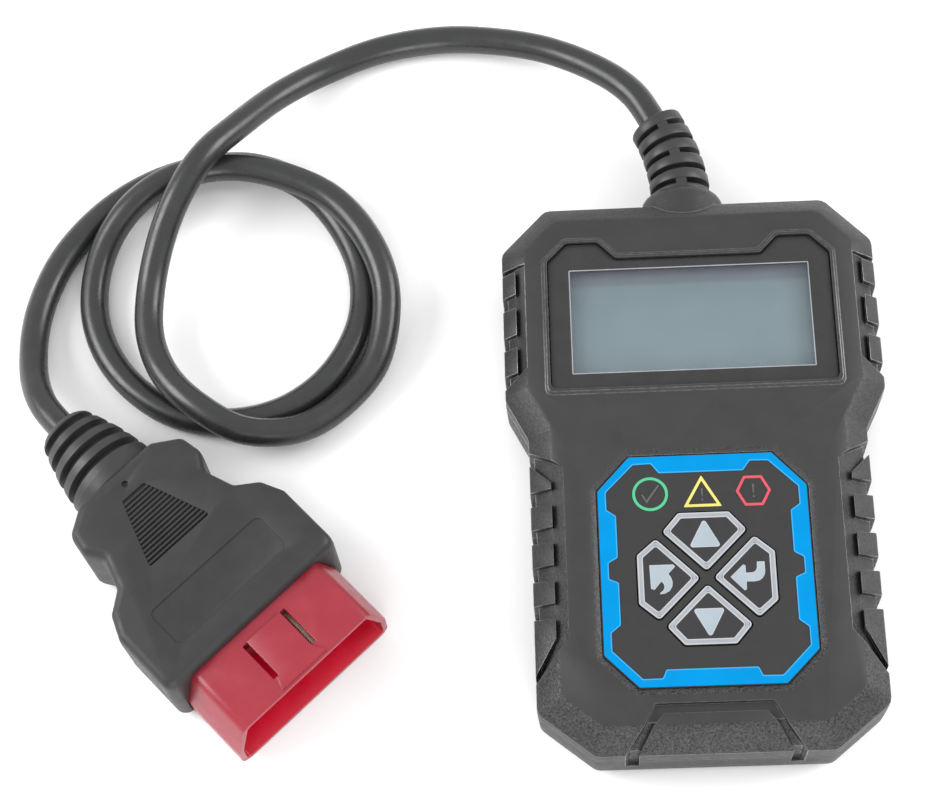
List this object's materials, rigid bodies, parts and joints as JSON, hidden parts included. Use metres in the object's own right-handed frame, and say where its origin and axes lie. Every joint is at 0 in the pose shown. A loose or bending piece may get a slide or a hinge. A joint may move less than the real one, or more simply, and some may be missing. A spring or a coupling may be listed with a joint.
{
  "type": "obd code reader",
  "caption": "Handheld diagnostic code reader with a display, a four-way keypad and status lamps, a captive cable and an OBD-II plug.",
  "frame": {"origin": "centre of the reader's flat back, midway along the casing, where it rests on a bench", "axes": "+Z out of the front face, +Y along the casing towards the cable outlet, +X across it to the right with the display upright"},
  "size_m": [0.1835, 0.1734, 0.022],
  "materials": {
    "casing": "fine textured",
    "label": "satin",
    "screw_steel": "satin",
    "window": "clear, dark printed border",
    "gasket": "matte",
    "lcd": "smooth",
    "diffuser": "smooth",
    "inner_frame": "matte",
    "ribbon": "smooth",
    "overlay": "satin",
    "key": "satin",
    "plunger": "matte",
    "switch": "matte",
    "board": "solder mask",
    "chip": "matte",
    "can": "satin",
    "light_guide": "clear",
    "led_green": "smooth",
    "led_yellow": "smooth",
    "led_red": "smooth",
    "connector": "smooth",
    "wires": "satin",
    "boot": "satin",
    "cord_jacket": "satin",
    "plug_housing": "satin",
    "shroud": "satin",
    "pin": "bright"
  },
  "bodies": {
    "reader": {"front_cover": "casing", "back_cover": "casing", "rear_label": "label", "case_screws": "screw_steel", "display_lens": "window", "display_gasket": "gasket", "display_panel": "lcd", "display_backlight": "diffuser", "display_frame": "inner_frame", "display_ribbon": "ribbon", "keypad_overlay": "overlay", "key_switches": "switch", "main_board": "board", "board_screws": "screw_steel", "processor_chip": "chip", "transceiver_chips": "chip", "crystal": "can", "capacitors": "can", "resistors": "chip", "buzzer": "chip", "light_guides": "light_guide", "led_green": "led_green", "led_yellow": "led_yellow", "led_red": "led_red", "cable_header": "connector", "header_plug": "connector", "harness_wires": "wires", "cable_boot": "boot", "cord": "cord_jacket", "plug_boot": "boot", "plug_body": "plug_housing", "plug_shroud": "shroud", "plug_core": "shroud", "plug_pins": "pin"},
    "up_key": {"key_up": "key", "plunger_up": "plunger"},
    "down_key": {"key_down": "key", "plunger_down": "plunger"},
    "back_key": {"key_back": "key", "plunger_back": "plunger"},
    "enter_key": {"key_enter": "key", "plunger_enter": "plunger"}
  },
  "joints": [
    {"name": "up_key_press", "type": "slide", "parent": "reader", "child": "up_key", "axis": [0, 0, 1], "range_m": [-0.0003, 0], "stiffness_N_per_m": 600},
    {"name": "down_key_press", "type": "slide", "parent": "reader", "child": "down_key", "axis": [0, 0, 1], "range_m": [-0.0003, 0], "stiffness_N_per_m": 600},
    {"name": "back_key_press", "type": "slide", "parent": "reader", "child": "back_key", "axis": [0, 0, 1], "range_m": [-0.0003, 0], "stiffness_N_per_m": 600},
    {"name": "enter_key_press", "type": "slide", "parent": "reader", "child": "enter_key", "axis": [0, 0, 1], "range_m": [-0.0003, 0], "stiffness_N_per_m": 600}
  ]
}
